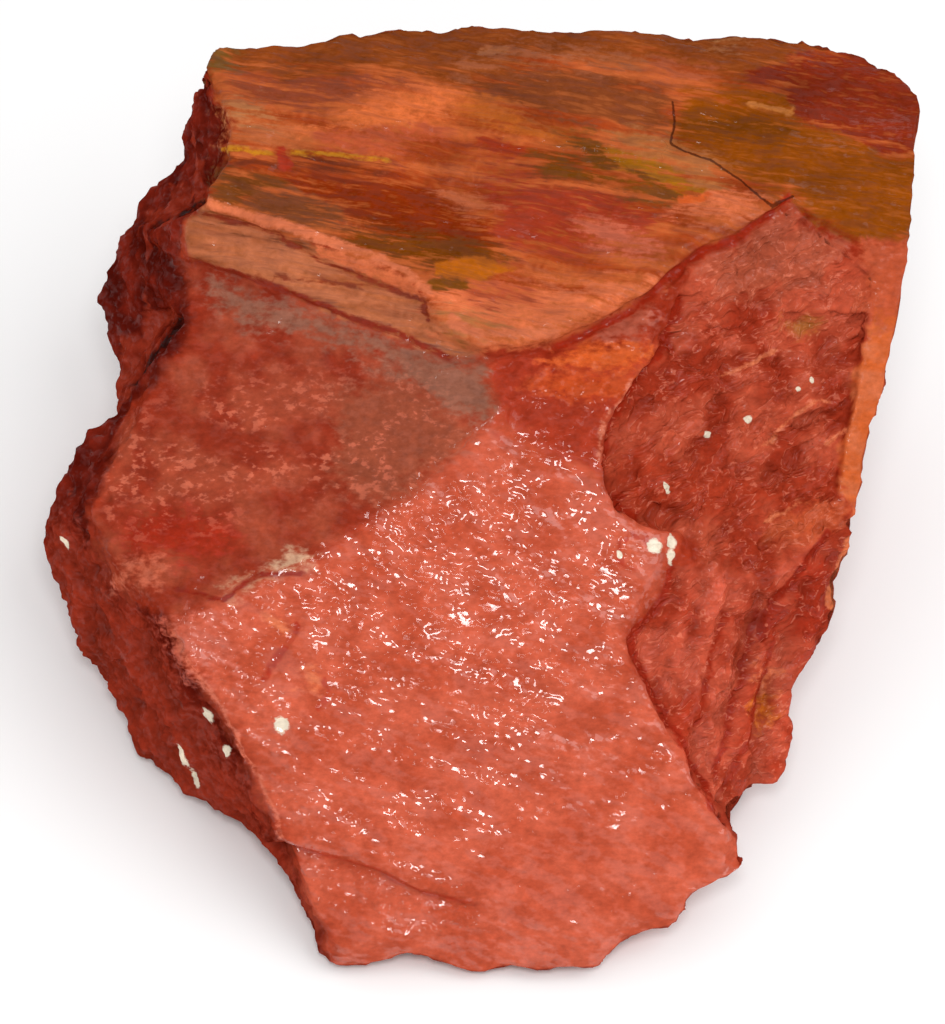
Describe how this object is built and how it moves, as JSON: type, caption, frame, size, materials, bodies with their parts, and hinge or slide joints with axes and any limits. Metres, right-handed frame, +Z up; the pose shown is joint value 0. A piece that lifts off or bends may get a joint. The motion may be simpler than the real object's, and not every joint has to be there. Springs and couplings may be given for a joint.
{
  "type": "rough rock",
  "caption": "Rough broken block of banded red stone with ledges, cracks and a hackly hollow, resting on its flat underside",
  "frame": {"origin": "centre of the bounding box's bottom, on the floor", "axes": "+Z up, +X along the longest extent, -Y towards the side that the broad front face slopes to"},
  "size_m": [0.1458, 0.1416, 0.0791],
  "materials": {
    "rock": "wet broken stone, brick red with ochre, brown and salmon bands on the top face"
  },
  "bodies": {
    "root": {"rock": "rock"}
  },
  "joints": []
}
